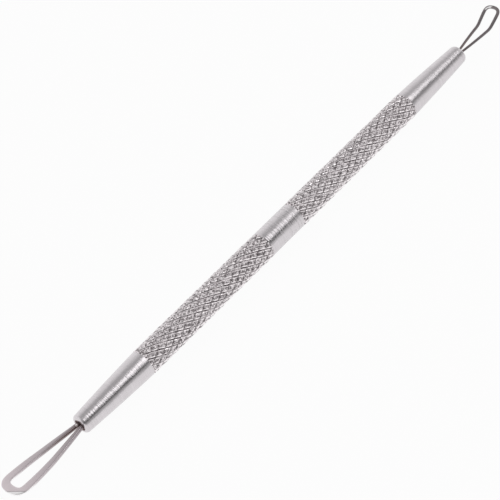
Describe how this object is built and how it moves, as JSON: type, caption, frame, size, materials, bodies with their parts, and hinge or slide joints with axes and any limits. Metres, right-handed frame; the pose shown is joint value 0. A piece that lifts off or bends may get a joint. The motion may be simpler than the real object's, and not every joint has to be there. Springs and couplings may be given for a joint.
{
  "type": "blackhead extractor",
  "caption": "Double-ended blackhead extractor: a slim diamond-knurled steel handle with tapered noses, a wide flat loop at one end and a fine bent wire loop at the other.",
  "frame": {"origin": "middle of the plain centre band, on the handle's axis", "axes": "+X along the handle towards the fine loop, +Z the side that both loops rise to, both loops lie across Y"},
  "size_m": [0.1225, 0.0052, 0.0049],
  "materials": {
    "turned_steel": "bright turned stainless steel with fine lathe marks, diamond knurled on both grips",
    "loop_steel": "satin spring wire, pressed flat towards the tip",
    "braze": "dull silver braze fillet inside the bore"
  },
  "bodies": {
    "root": {"handle": "turned_steel", "wide_loop": "loop_steel", "fine_loop": "loop_steel", "wide_braze": "braze", "fine_braze": "braze"}
  },
  "joints": []
}
